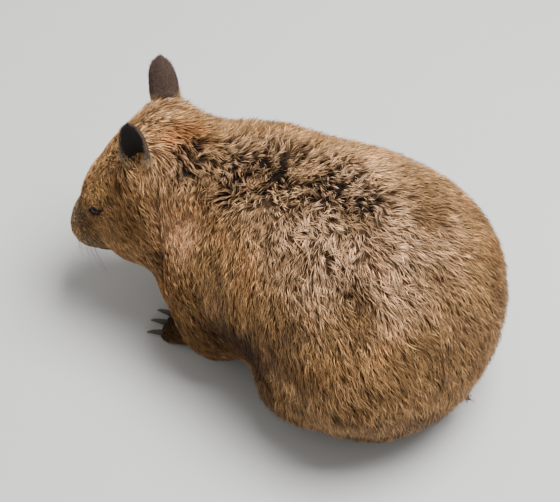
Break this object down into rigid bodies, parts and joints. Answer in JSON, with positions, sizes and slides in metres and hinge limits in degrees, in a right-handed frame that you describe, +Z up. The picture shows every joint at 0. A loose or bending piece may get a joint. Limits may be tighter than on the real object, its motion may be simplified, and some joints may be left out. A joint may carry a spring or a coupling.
{
  "type": "wombat",
  "caption": "Life-size still model of a southern hairy-nosed wombat, crouching with arched back and lowered head turned left.",
  "frame": {"origin": "on the floor, under the middle of the animal's bounding box", "axes": "+Z up, +Y from the head towards the tail, +X towards the animal's left"},
  "size_m": [0.2964, 0.477, 0.3162],
  "materials": {
    "coat": "dense brown fur with pale tips",
    "feet": "dark brown skin under short hair",
    "claws": "dull dark horn",
    "nose": "dark skin with short pale hairs",
    "ears": "dark brown, short velvety hair",
    "eyes": "wet, nearly black"
  },
  "bodies": {
    "root": {"forefoot_left": "feet", "forefoot_left_claw_1": "claws", "forefoot_left_claw_2": "claws", "forefoot_left_claw_3": "claws", "forefoot_left_claw_4": "claws", "forefoot_left_claw_5": "claws", "hindfoot_left": "feet", "hindfoot_left_claw_1": "claws", "hindfoot_left_claw_2": "claws", "hindfoot_left_claw_3": "claws", "hindfoot_left_claw_4": "claws", "forefoot_right": "feet", "forefoot_right_claw_1": "claws", "forefoot_right_claw_2": "claws", "forefoot_right_claw_3": "claws", "forefoot_right_claw_4": "claws", "forefoot_right_claw_5": "claws", "hindfoot_right": "feet", "hindfoot_right_claw_1": "claws", "hindfoot_right_claw_2": "claws", "hindfoot_right_claw_3": "claws", "hindfoot_right_claw_4": "claws", "foreleg_left": "coat", "hindleg_left": "coat", "foreleg_right": "coat", "hindleg_right": "coat", "torso": "coat", "neck": "coat", "tail": "coat", "head": "coat", "nose": "nose", "ear_left": "ears", "ear_right": "ears", "eye_left": "eyes", "eye_right": "eyes"}
  },
  "joints": []
}
